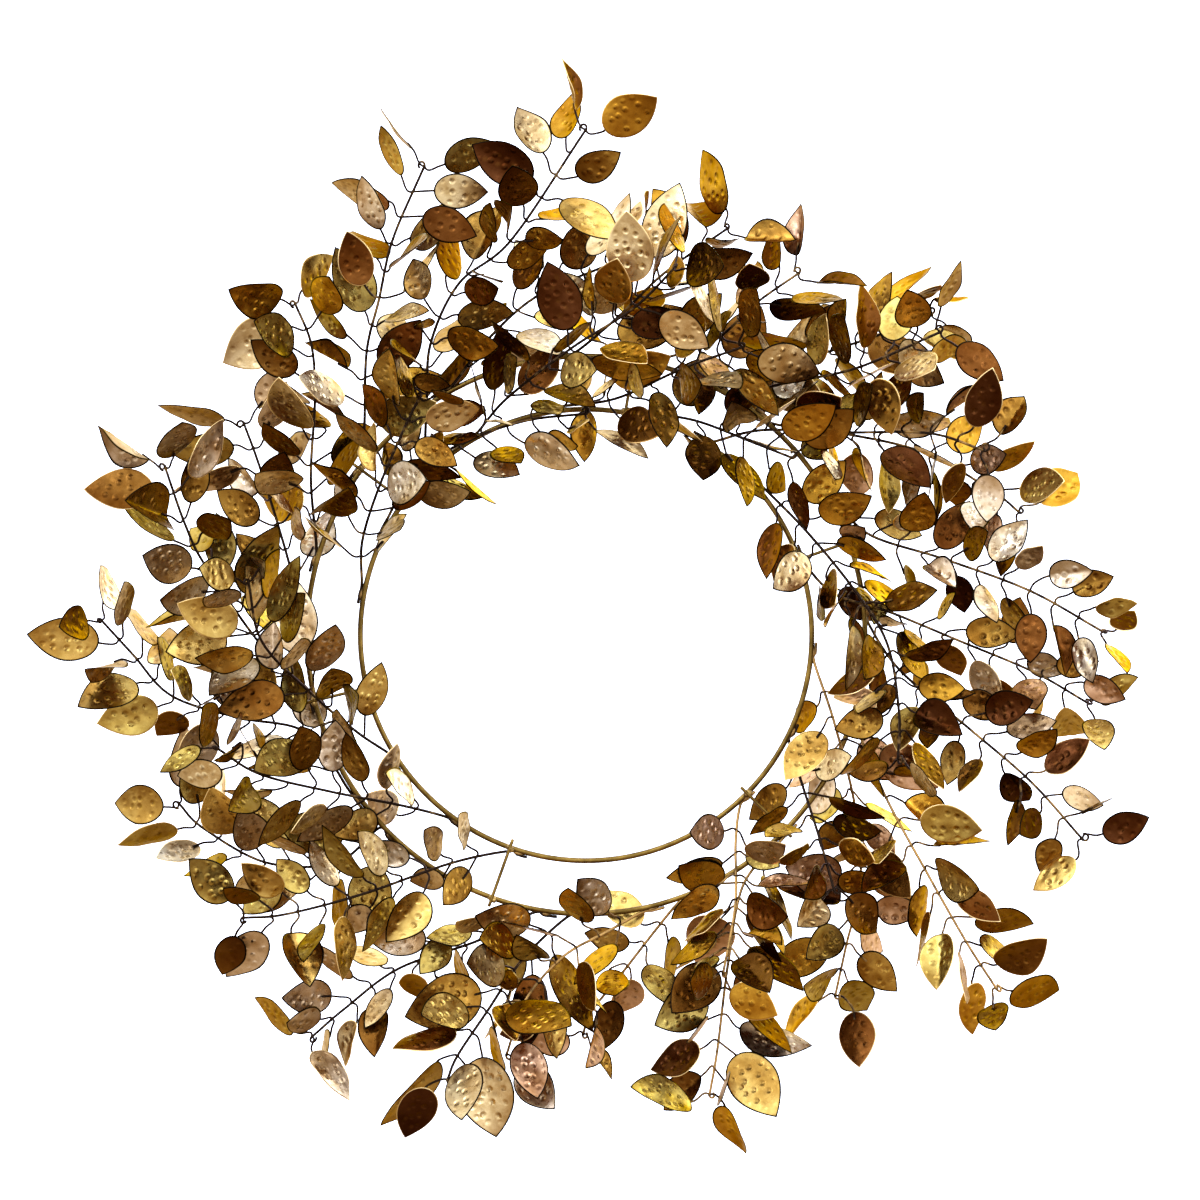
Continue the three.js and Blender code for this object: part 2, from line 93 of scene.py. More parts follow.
# Each spray: its ring, the angle where its foot ends, the size of its leaves, the mix of leaf
# tones, and the points that its stem passes.
SPRAYS = [
    (OUTER, 142, 1.0, "top",
     [(-141, -6, 135), (-139, -16, 180), (-131, -22, 212), (-122, -26, 250), (-102, -28, 296)]),
    (INNER, 135, 1.0, "dark",
     [(-101, -14, 150), (-98, -24, 185), (-80, -30, 222), (-47, -34, 249), (0, -38, 318)]),
    (OUTER, 162, 1.1, "top", [(-175, -8, 100), (-172, -14, 150), (-174, -18, 184), (-184, -22, 210)]),
    (OUTER, 178, 1.0, "left", [(-190, 10, 45), (-203, 14, 88), (-212, 16, 115), (-220, 18, 136)]),
    (OUTER, -169, 1.14, "left", [(-205, -12, -8), (-240, -30, 44), (-252, -38, 70), (-264, -44, 106)]),
    (OUTER, -147, 1.0, "left",
     [(-178, -8, -62), (-221, -20, -52), (-262, -26, -38), (-286, -28, -12), (-306, -30, 10)]),
    (INNER, -128, 0.95, "left",
     [(-118, -12, -108), (-160, -26, -99), (-205, -40, -87), (-232, -46, -70)]),
    (INNER, -149, 1.0, "left", [(-145, -10, -62), (-172, -26, -38), (-203, -44, -4), (-211, -52, 34)]),
    (OUTER, -137, 1.0, "left", [(-160, 9, -146), (-205, 12, -146), (-246, 16, -124), (-262, 18, -108)]),
    (INNER, -110, 0.95, "left",
     [(-86, -10, -145), (-142, -22, -164), (-190, -30, -176), (-216, -32, -178)]),
    (OUTER, -101, 0.95, "left", [(-70, 8, -196), (-120, 14, -214), (-155, 16, -240), (-176, 14, -258)]),
    (OUTER, -94, 1.22, "dark",
     [(-40, -20, -205), (-62, -42, -236), (-80, -58, -262), (-86, -66, -276)]),
    (OUTER, -79, 1.1, "low", [(12, -14, -189), (-14, -22, -203), (-38, -30, -230), (-50, -34, -264)]),
    (OUTER, -71, 0.95, "low", [(45, 6, -188), (22, 10, -218), (3, 12, -242), (-2, 12, -256)]),
    (OUTER, -47, 1.08, "low", [(100, -8, -159), (90, -20, -208), (83, -26, -262), (78, -28, -290)]),
    (INNER, -48, 0.95, "low", [(95, -14, -131), (94, -34, -170), (86, -46, -212)]),
    (INNER, -28, 0.9, "dark", [(138, -12, -97), (148, -28, -130), (156, -38, -160)]),
    (INNER, -7, 0.95, "low",
     [(158, -8, -56), (172, 6, -110), (176, 14, -158), (167, 18, -200), (160, 18, -232)]),
    (OUTER, -18, 1.0, "low", [(190, -12, -102), (217, -28, -153), (240, -38, -194), (258, -42, -222)]),
    (INNER, 41, 0.95, "dark",
     [(140, -12, 66), (170, -26, 28), (190, -34, -6), (197, -38, -50), (196, -40, -78)]),
    (INNER, 18, 0.82, "right",
     [(158, -11, 26), (192, -10, 15), (239, 4, -4), (287, 10, -24), (322, 12, -44)]),
    (OUTER, 29, 0.82, "right", [(180, -10, 64), (227, -24, 48), (280, -32, 28), (326, -36, 2)]),
    (OUTER, 2, 0.8, "right", [(200, -12, -23), (241, -26, -58), (280, -36, -92), (312, -40, -128)]),
    (OUTER, 48, 0.88, "right", [(165, -8, 128), (215, -10, 116), (258, -8, 92), (276, -6, 78)]),
    (INNER, 57, 0.9, "right", [(112, -16, 130), (165, -30, 128), (216, -40, 127), (250, -44, 116)]),
    (OUTER, 66, 1.0, "top", [(110, 10, 170), (150, 14, 180), (192, 16, 194), (222, 16, 206)]),
    (OUTER, 76, 1.05, "right", [(80, -14, 186), (108, -30, 210), (134, -36, 228)]),
    (OUTER, 92, 1.15, "top", [(20, -8, 202), (50, -14, 230), (90, -18, 258)]),
    (INNER, 167, 0.95, "top", [(-142, -12, 60), (-130, -28, 95), (-112, -36, 135), (-104, -40, 150)]),
    (INNER, 118, 1.0, "dark", [(-50, -20, 150), (-10, -38, 180), (30, -50, 205), (56, -58, 230)]),
    (INNER, 95, 1.05, "dark", [(20, -24, 150), (62, -46, 168), (98, -60, 180)]),
    (OUTER, 118, 1.0, "top", [(-62, 8, 190), (-30, 12, 218), (20, 12, 240), (40, 8, 256)]),
    (INNER, 150, 0.95, "top", [(-112, -10, 98), (-82, -20, 120), (-40, -26, 135), (0, -28, 140)]),
    (INNER, 75, 1.0, "dark", [(70, -14, 136), (105, -26, 122), (130, -30, 112)]),
    (OUTER, 58, 1.08, "top", [(128, -22, 160), (170, -40, 168), (222, -50, 190)]),
]

# Leaf colours in sRGB, and how often each turns up in each part of the wreath. The mixes are partly
# painted light: paler tones on the left and darker ones elsewhere, as the light falls; within a part
# the tones differ at random.
TONES = {
    "cream": (236, 216, 178),
    "straw": (222, 194, 138),
    "gold": (208, 172, 90),
    "amber": (198, 146, 46),
    "olive": (184, 156, 78),
    "brown": (166, 122, 48),
    "umber": (120, 78, 28),
    "burnt": (78, 42, 18),
    "taupe": (202, 177, 142),
    "rose": (206, 163, 124),
    "rust": (110, 64, 24),
}
MIXES = {
    "left": "olive brown taupe straw olive cream umber taupe gold straw",
    "top": "amber brown gold olive straw cream amber rust umber straw",
    "dark": "umber brown amber burnt straw brown rust gold rust amber",
    "low": "amber brown umber gold taupe rose burnt amber olive rust",
    "right": "taupe umber brown olive cream amber burnt rose rust gold",
}

SHADE = (0.78, 1.08)  # by which each leaf's tone is multiplied

# How much brass shows through the stems' dark lacquer, in each part of the wreath
SHINES = {"left": 0.0, "top": 0.06, "dark": 0.0, "low": 0.36, "right": 0.14}
THIN_WIRE_SHINE = 0.4  # of the stem's, for the petioles
WELD_SHINE = 0.26

# ---- finer shapes

RING_FINE_STEPS = 288
RING_FINE_SIDES = 16
STEM_STEP = 1.6  # between sections of a stem
STEM_SIDES = 10
STEM_START_RADIUS = 1.0
STEM_END_RADIUS = 0.88
CROSS_WIRE_SECTIONS = 24
CROSS_WIRE_FINE_SIDES = 12
WIRE_END = (0.5, 0.6)  # the reach and the width of a rounded end, of the wire's radius
HOOK_RADIUS = (1.4, 2.4)
HOOK_TURN = 4.4
HOOK_SECTIONS = 15
HOOK_WIRE_RADIUS = 0.9 * STEM_END_RADIUS
PETIOLE_RADIUS = 0.74
PETIOLE_SECTIONS = 14
PETIOLE_SIDES = 8
PETIOLE_SWING = 1.15  # how strongly it curves, of its span
PETIOLE_BACK = (0, 0.35)  # how far it sets off towards the stem's foot
PETIOLE_WAVE = (0.5, 2.0)  # how far the S of a petiole swings
PETIOLE_OVERLAP = (4.0, 8.0)  # how far its end lies on the leaf
PETIOLE_LAP_START = 0.6
PETIOLE_LAP_SECTIONS = 5
PETIOLE_LIFT = 0.7 * PETIOLE_RADIUS  # from the sheet to the middle of that end
PETIOLES_IN_FRONT = 0.12  # the share of leaves with that end on the front
SHEET = 0.5  # the leaves' thickness
ROUNDED_EDGE = 0.3  # of the thickness, how far the edge's middle stands out
RIM = 1.25  # the width of a leaf's darkened border, which is partly painted shade
TIP_STAIN = 0.26  # how dark a leaf's point is, where its border is 1
TIP_STAIN_START = 0.9  # of the length
TIP_STAIN_FADE = 0.08
STAIN = (0.0, 0.85)  # the light that a leaf's darkest end has lost
STAIN_TINT = (0.82, 0.94, 1.0)  # each primary's part of that loss
PAINTED_HIGHLIGHT_RIMS = 0.22  # the share of leaves whose border gets a painted highlight instead
DENT_PITCH = 7.1  # between the small dents pressed into the leaves
DENT_FIELD = (0.1, 0.86)  # the part of a leaf's length that has them
DENT_FADES = (0.1, 0.15)  # over which they fade in and out at its ends
DENT_SIDE = 0.84  # of the way to the edge
DENT_SIDE_FADE = 0.25
DENT_SHIFT = (0, 60)  # in pitches, so that no two leaves are dented alike
LOWER_EDGE_POINTS = 8
UPPER_EDGE_POINTS = 12
LEAF_RINGS = [0.12, 0.24, 0.36, 0.47, 0.57, 0.66, 0.74, 0.82, 0.9]
CUP = (-0.05, 0.14)  # of the leaf's width
FOLD = (-0.16, 0.2)  # slope beside the midrib
SHARP_FOLD = (0.4, 0.75)  # the same, on the few leaves that are folded
SHARP_FOLDS = 0.12
BEND = (-0.22, 0.26)  # along the leaf, of its length
FOLD_ROUNDING = 0.02  # so that the midrib isn't a sharp crease
FOLD_DROP = 0.14  # so that the midrib stays on the sheet
TWIST = (-0.21, 0.21)
TWIST_CENTRE = 0.3  # of the length
RIPPLE = (0.1, 0.9)
RIPPLE_TURNS = (9, 2)  # radians along the leaf, and from midrib to edge
BOW = (-0.1, 0.1)  # sideways, of the length
BUMPS = (4, 7)
BUMP_FIELD = (0.18, 0.8)  # the part of a leaf's length that has them
BUMP_STRAY = (0.2, 0.8)  # of the spacing between two bumps
BUMP_OUT = (0.05, 0.5)  # from the midrib, of the way to the edge
BUMP_HEIGHT = (0.25, 0.6)
BUMP_WIDTH = (1.2, 1.8)  # on a leaf of the length BUMP_LEAF
BUMP_LEAF = 35
SUNK_SHARE = 0.6  # of the leaves, with bumps and dents that go in
BEAD_RINGS = 7
BEAD_SIDES = 10

# Solder and weld: half its length, its radius, and how uneven it is
FOOT_BEAD = (3.6, 1.35, 0.12)  # where a stem meets a ring
FOOT_BEAD_PLACE = 0.55  # along the stem's foot
CROSSING_BEAD = (1.5, 1.05, 0.12)  # where the petioles meet a stem
LEAF_BEAD = (1.7, 0.62, 0.12)  # where a petiole's end lies on a leaf
LARGE_WELD = (3.0, 2.0, 0.25)  # where a cross wire meets a ring
SMALL_WELD = (1.9, 1.7, 0.3)  # beside each large one
SMALL_WELD_SHIFT = (1.0, 0.5, 0.6)  # outwards, in degrees round the ring, and forwards

EASE = 0.6  # what a leaf keeps of its shape, each time that it is flattened
MOST_EASINGS = 9


def chance(spray, place, use):
    wave = math.sin(spray * 12.9898 + place * 78.233 + use * 37.719) * 43758.5453
    return wave - math.floor(wave)


def between(limits, share):
    low, high = limits
    return low + (high - low) * share


def unit(vector):
    return vector / np.linalg.norm(vector)


def turned(vector, axis, angle):
    """The vector turned about a unit axis."""
    along = axis * np.dot(axis, vector) * (1 - math.cos(angle))
    return vector * math.cos(angle) + np.cross(axis, vector) * math.sin(angle) + along


def on_ring(radius, degrees, depth=0.0):
    angle = math.radians(degrees)
    return np.array([radius * math.cos(angle), depth, radius * math.sin(angle)])


# ---- stems


class Route:
    """A smooth line through points, with places on it given as shares of its length."""

    DIVISIONS = 200
    NUDGE = 0.0001  # of the whole line, to either side, for its direction

    def __init__(self, points):
        points = np.array(points, float)
        before = 2 * points[0] - points[1]
        after = 2 * points[-1] - points[-2]
        self.points = np.vstack([before, points, after])
        self.spans = len(points) - 1
        self.steps = np.linspace(0, 1, self.DIVISIONS + 1)
        gaps = np.diff(self.at(self.steps), axis=0)
        self.lengths = np.concatenate([[0], np.cumsum(np.linalg.norm(gaps, axis=1))])
        self.length = self.lengths[-1]

    def at(self, t):
        place = np.clip(np.atleast_1d(t), 0, 1) * self.spans
        index = np.minimum(np.floor(place).astype(int), self.spans - 1)
        w = (place - index)[:, None]
        a, b, c, d = (self.points[index + k] for k in range(4))
        start = (c - a) / 2
        end = (d - b) / 2
        square = 3 * (c - b) - 2 * start - end
        cube = 2 * (b - c) + start + end
        return b + start * w + square * w**2 + cube * w**3

    def mapped(self, shares):
        return np.interp(np.atleast_1d(shares) * self.length, self.lengths, self.steps)

    def spaced(self, count):
        return self.at(self.mapped(np.linspace(0, 1, count + 1)))

    def direction(self, share):
        t = self.mapped(share)
        ends = self.at(np.concatenate([t - self.NUDGE, t + self.NUDGE]))
        return unit(ends[1] - ends[0])


class Stem:
    """A spray's wire, with the stations of its leaf pairs and the way each pair crosses it."""

    def __init__(self, number, spray):
        radius, angle, self.size, self.mix, route = spray
        foot = radius + RING_WIRE_RADIUS + WELD_GAP + STEM_RADIUS
        ends = [on_ring(foot, angle + FOOT_ANGLE * share) for share in (1, 0.5, 0)]
        self.number = number
        self.weld = on_ring(radius + RING_WIRE_RADIUS, angle + FOOT_ANGLE * FOOT_BEAD_PLACE)
        self.route = Route(ends + [np.array(point, float) for point in route])
        count = math.floor(self.route.length / LEAF_SPACING + 0.5)
        self.stations = self.route.spaced(count)
        self.alongs = [self.route.direction(i / count) for i in range(count + 1)]
        self.turns = [self.turn_at(i) for i in range(count + 1)]

    def turn_at(self, i):
        tilt = between((-1, 1), chance(self.number, i, 1)) * MOST_TILT
        sideways = unit(np.cross(self.alongs[i], DEPTH_AXIS))
        return turned(sideways, self.alongs[i], tilt)


# ---- where each leaf goes


def half_width(width, share):
    share = np.asarray(share, float)
    low = np.clip((WIDEST_AT - share) / WIDEST_AT, 0, 1)
    high = np.clip((share - WIDEST_AT) / (1 - WIDEST_AT), 0, 1)
    return width / 2 * np.where(share < WIDEST_AT, np.sqrt(1 - low**2), 1 - high**TIP_POWER)


class Leaf:
    """A leaf's place: base, axis from base to tip, normal of its face, and the way across."""

    def __init__(self, stem, place, root, along, turn, attempt):
        self.spray = stem.number
        self.place = place
        self.root = root
        self.along = along
        self.turn = turn
        sway = math.ceil(attempt / 2) * (TRY_SWAY if attempt % 2 else -TRY_SWAY)
        axis = unit(turned(turn, along, sway) + along * self.pick(LEAF_LEAN, 3))
        axis = turned(axis, FORWARD, self.pick(LEAF_STRAY, 9))
        axis[1] += self.pick(LEAF_DEPTH, 4)
        self.axis = unit(axis)
        roll = self.pick((-1, 1), 5)
        normal = unit(FORWARD - self.axis * np.dot(FORWARD, self.axis))
        angle = MOST_ROLL * roll + TRY_ROLL * attempt * math.copysign(1, roll)
        self.normal = turned(normal, self.axis, angle)
        self.length = self.pick(LEAF_LENGTH, 6) * stem.size * (1 - TRY_SHRINK * attempt)
        petiole = unit(turn + along * PETIOLE_LEAN)
        self.base = root + petiole * self.pick(PETIOLE_LENGTH, 7)
        self.across = np.cross(self.axis, self.normal)
        self.width = self.length * self.pick(LEAF_WIDTH_SHARE, 8)
        self.middle = self.base + self.axis * self.length / 2
        self.corners = self.edge_corners()
        self.lines = self.edge_lines()

    def pick(self, limits, use):
        return between(limits, chance(self.spray, self.place, use))

    def edge_corners(self):
        shares = np.array([0, 0.12, WIDEST_AT, 0.72, 1, 0.72, WIDEST_AT, 0.12])
        ways = np.array([0, 1, 1, 1, 0, -1, -1, -1])
        out = ways * half_width(self.width, shares)
        return self.base + np.outer(shares * self.length, self.axis) + np.outer(out, self.across)

    def edge_lines(self):
        """The edge and the midrib, as (starts, ends)."""
        starts = np.vstack([self.corners, self.corners[:1]])
        ends = np.vstack([np.roll(self.corners, -1, axis=0), self.corners[4:5]])
        return starts, ends

    def met_by(self, starts, ends, margin):
        """Which straight lines come within the margin of the blade."""
        start = starts - self.base
        end = ends - self.base
        a = start @ self.normal
        b = end @ self.normal
        crosses = a * b < 0
        near = crosses | (np.minimum(abs(a), abs(b)) <= margin) | (a * b == 0)
        gap = np.where(crosses, a - b, 1)
        share = np.where(crosses, a / gap, np.where(abs(a) < abs(b), 0, 1))
        meeting = start + (end - start) * share[:, None]
        along = meeting @ self.axis
        place = np.clip(along / self.length, 0.05, 0.95)
        inside = (along >= -margin) & (along <= self.length + margin)
        return near & inside & (abs(meeting @ self.across) < half_width(self.width, place) + margin)


def line_distances(start, end, starts, ends):
    """The shortest distances from one straight line to several others."""
    u = end - start
    v = ends - starts
    w = start - starts
    uu = u @ u
    uv = v @ u
    vv = np.sum(v * v, axis=1)
    uw = w @ u
    vw = np.sum(v * w, axis=1)
    spread = uu * vv - uv * uv
    safe = np.where(spread > 1e-9, spread, 1)
    s = np.where(spread > 1e-9, np.clip((uv * vw - vv * uw) / safe, 0, 1), 0)
    t = np.clip((uv * s + vw) / vv, 0, 1)
    s = np.clip((uv * t - uw) / uu, 0, 1)
    return np.linalg.norm(w + np.outer(s, u) - v * t[:, None], axis=1)


class Wires:
    """Straight stretches of wire that leaves keep clear of."""

    def __init__(self):
        self.rows = []

    def follow(self, points, radius, spray):
        for start, end in zip(points, points[1:]):
            self.rows.append((start, end, radius, spray))

    def ready(self):
        self.starts, self.ends, self.radii, self.sprays = map(np.array, zip(*self.rows))
        self.middles = (self.starts + self.ends) / 2
        self.reaches = np.linalg.norm(self.ends - self.starts, axis=1) / 2 + self.radii


def cross_wire_point(radius, degrees):
    return on_ring(radius, degrees, -(RING_WIRE_RADIUS + WELD_GAP + CROSS_WIRE_RADIUS))


def all_wires(stems):
    wires = Wires()
    for radius in (INNER, OUTER):
        points = [on_ring(radius, i * 360 / RING_STEPS) for i in range(RING_STEPS + 1)]
        wires.follow(points, RING_WIRE_RADIUS, FRAME_WIRES)
    for degrees in CROSS_WIRE_ANGLES:
        ends = (INNER - CROSS_WIRE_END, OUTER + CROSS_WIRE_END)
        points = [cross_wire_point(radius, degrees) for radius in ends]
        wires.follow(points, CROSS_WIRE_RADIUS, FRAME_WIRES)
    height = OUTER - RING_WIRE_RADIUS - NAIL_DROP
    for x in (-NAIL_REACH, 0, NAIL_REACH):
        for z in (-NAIL_REACH, 0, NAIL_REACH):
            points = [np.array([x, y, height + z], float) for y in NAIL_DEPTHS]
            wires.follow(points, NAIL_RADIUS, FRAME_WIRES)
    for stem in stems:
        wires.follow(stem.stations, STEM_RADIUS, stem.number)
    wires.ready()
    return wires


def is_free(leaf, wires, leaves):
    """Whether a leaf is clear of the wires and the leaves that are already there."""
    flat = leaf.corners[:, [0, 2]] - np.array(OPEN_CENTRE)
    if (np.hypot(flat[:, 0], flat[:, 1]) < OPEN_CENTRE_RADIUS).any():
        return False
    near = np.linalg.norm(wires.middles - leaf.middle, axis=1) <= leaf.length + wires.reaches
    starts, ends = wires.starts[near], wires.ends[near]
    margins = wires.radii[near] + CLEARANCE
    if leaf.met_by(starts, ends, margins).any():
        return False
    other_spray = wires.sprays[near] != leaf.spray
    distances = line_distances(leaf.root, leaf.base, starts, ends)
    if (other_spray & (distances < margins)).any():
        return False
    return not any(too_close(leaf, other) for other in leaves)


def too_close(leaf, other):
    if np.linalg.norm(leaf.middle - other.middle) > leaf.length + other.length:
        return False
    for one, two in ((leaf, other), (other, leaf)):
        starts = np.vstack([one.lines[0], one.root])
        ends = np.vstack([one.lines[1], one.base])
        if two.met_by(starts, ends, CLEARANCE).any():
            return True
    if other.spray == leaf.spray:
        return False
    apart = line_distances(leaf.root, leaf.base, other.root[None], other.base[None])
    return apart[0] < 2 * CLEARANCE


def grow_leaves(stems, wires):
    """Every leaf that finds a free place, in the order in which the sprays are listed."""
    leaves = []
    for stem in stems:
        for i in range(BARE_STATIONS, len(stem.stations)):
            for side, place in ((1, 2 * i), (-1, 2 * i + 1)):
                for attempt in range(TRIES):
                    turn = stem.turns[i] * side
                    leaf = Leaf(stem, place, stem.stations[i], stem.alongs[i], turn, attempt)
                    if is_free(leaf, wires, leaves):
                        leaves.append(leaf)
                        break
    return leaves


# ---- meshes


def add_object(name, data):
    made = bpy.data.objects.new(name, data)
    bpy.context.scene.collection.objects.link(made)
    return made


def smooth_mesh(name, points, faces, material):
    mesh = bpy.data.meshes.new(name)
    mesh.from_pydata(points, [], faces)
    mesh.shade_smooth()
    mesh.materials.append(material)
    return mesh


class Body:
    """Points in millimetres and faces, gathered shape by shape, that become one smooth mesh."""

    def __init__(self):
        self.points = []
        self.faces = []
        self.values = {}
        self.count = 0

    def add(self, points, faces, **values):
        self.points.append(points)
        self.faces.extend((np.asarray(faces) + self.count).tolist())
        for name, value in values.items():
            self.values.setdefault(name, []).append(value)
        self.count += len(points)

    def fill(self, name, value):
        """Give a number to every point that has none yet."""
        parts = self.values.setdefault(name, [])
        parts.append(np.full(self.count - sum(len(part) for part in parts), value))

    def add_mixed(self, points, quads, triangles, **values):
        self.faces.extend((np.asarray(triangles) + self.count).tolist())
        self.add(points, quads, **values)

    def finish(self, name, material, slot, *nodes):
        points = np.vstack(self.points) - np.array([0, 0, HANG_DROP])
        mesh = smooth_mesh(name, (points * MM).tolist(), self.faces, material)
        for key, parts in self.values.items():
            add_values(mesh, key, np.concatenate(parts))
        piece = add_object(name, mesh)
        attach(piece, "root")
        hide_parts(*nodes)


def add_values(mesh, name, values):
    """A colour, a vector or a number at each point of a mesh."""
    kind, field = "FLOAT", "value"
    if values.ndim == 2:
        kind, field = "FLOAT_VECTOR", "vector"
    if name == "tone":
        kind, field = "FLOAT_COLOR", "color"
        values = np.hstack([values, np.ones((len(values), 1))])
    mesh.attributes.new(name, kind, "POINT").data.foreach_set(field, values.ravel())


def band_faces(bands, loops, sides):
    """Quads between each loop of points and the next, for a number of bands."""
    loop, side = np.meshgrid(np.arange(bands), np.arange(sides), indexing="ij")
    after = (loop + 1) % loops
    beside = (side + 1) % sides
    corners = [(loop, side), (loop, beside), (after, beside), (after, side)]
    return np.stack([i * sides + j for i, j in corners], axis=-1).reshape(-1, 4)


def add_tube(body, points, radii, sides, closed=False):
    """A round wire along points. An open one gets rounded ends."""
    points = np.array(points, float)
    radii = np.broadcast_to(np.asarray(radii, float), len(points)).copy()
    if closed:
        ways = np.roll(points, -1, axis=0) - np.roll(points, 1, axis=0)
    else:
        reach, width = WIRE_END
        ahead = unit(points[0] - points[1]) * radii[0] * reach
        behind = unit(points[-1] - points[-2]) * radii[-1] * reach
        points = np.vstack([points[0] + ahead, points, points[-1] + behind])
        radii = np.concatenate([[radii[0] * width], radii, [radii[-1] * width]])
        ways = np.gradient(points, axis=0)
    side = unit(np.cross(ways[0], DEPTH_AXIS + 0.01))
    loops = []
    angles = np.arange(sides) * 2 * math.pi / sides
    for point, way, radius in zip(points, ways, radii):
        way = unit(way)
        side = unit(side - way * np.dot(side, way))
        other = np.cross(way, side)
        round_wire = np.outer(np.cos(angles), side) + np.outer(np.sin(angles), other)
        loops.append(point + radius * round_wire)
    count = len(points)
    body.add(np.vstack(loops), band_faces(count if closed else count - 1, count, sides))
    if not closed:
        last = body.count - sides
        first = body.count - count * sides
        body.faces.append(list(range(first + sides - 1, first - 1, -1)))
        body.faces.append(list(range(last, last + sides)))


def add_bead(body, middle, along, size, seed):
    """A blob of solder: a stretched ball with an uneven surface."""
    length, radius, lumps = size
    rings, sides = BEAD_RINGS, BEAD_SIDES
    along = unit(along)
    side = unit(np.cross(along, [0.3, 0.9, 0.2]))
    other = np.cross(along, side)
    ring, turn = np.meshgrid(np.arange(1, rings), np.arange(sides), indexing="ij")
    latitude = ring.ravel() * math.pi / rings
    longitude = turn.ravel() * 2 * math.pi / sides
    uneven = 1 + lumps * np.sin(3 * longitude + seed) * np.sin(2 * latitude + 1.7 * seed)
    reach = radius * np.sin(latitude) * uneven
    points = middle + np.outer(-length * np.cos(latitude), along)
    points += np.outer(reach * np.cos(longitude), side) + np.outer(reach * np.sin(longitude), other)
    poles = np.array([middle - along * length, middle + along * length])
    quads = band_faces(rings - 2, rings - 1, sides)
    k = np.arange(sides)
    last = (rings - 2) * sides
    total = (rings - 1) * sides
    caps = np.vstack([
        np.stack([np.full(sides, total), (k + 1) % sides, k], axis=-1),
        np.stack([np.full(sides, total + 1), last + k, last + (k + 1) % sides], axis=-1),
    ])
    body.add_mixed(np.vstack([points, poles]), quads, caps)


# ---- a leaf's sheet


def edge_shares():
    """Places round the edge, from the base up one side to the tip and down the other."""
    lower = WIDEST_AT * (1 - np.cos(np.linspace(0, math.pi / 2, LOWER_EDGE_POINTS + 1)))
    upper = WIDEST_AT + (1 - WIDEST_AT) * np.linspace(0, 1, UPPER_EDGE_POINTS + 1)
    up = np.concatenate([lower, upper[1:]])
    shares = np.concatenate([up, up[-2:0:-1]])
    ways = np.concatenate([np.ones(len(up)), -np.ones(len(up) - 2)])
    return shares, ways


def leaf_faces(count, rings):
    """Faces of two domes of rings, front and back, joined by one more loop round the edge."""
    k = np.arange(count)
    after = (k + 1) % count
    quads, triangles = [], []
    side_points = 1 + rings * count
    for side, start in ((1, 0), (-1, side_points)):
        fan = np.stack([np.full(count, start), start + 1 + k, start + 1 + after], axis=-1)
        triangles.append(fan[:, ::side])
        for ring in range(rings - 1):
            low = start + 1 + ring * count
            high = low + count
            quads.append(np.stack([low + k, high + k, high + after, low + after], axis=-1)[:, ::side])
    front = 1 + (rings - 1) * count
    back = front + side_points
    middle = 2 * side_points
    quads.append(np.stack([front + k, middle + k, middle + after, front + after], axis=-1))
    quads.append(np.stack([middle + k, back + k, back + after, middle + after], axis=-1))
    return np.vstack(quads), np.vstack(triangles)


EDGE_SHARES, EDGE_WAYS = edge_shares()
LEAF_QUADS, LEAF_TRIANGLES = leaf_faces(len(EDGE_SHARES), len(LEAF_RINGS) + 2)
LEAF_FACES = LEAF_QUADS.tolist() + LEAF_TRIANGLES.tolist()


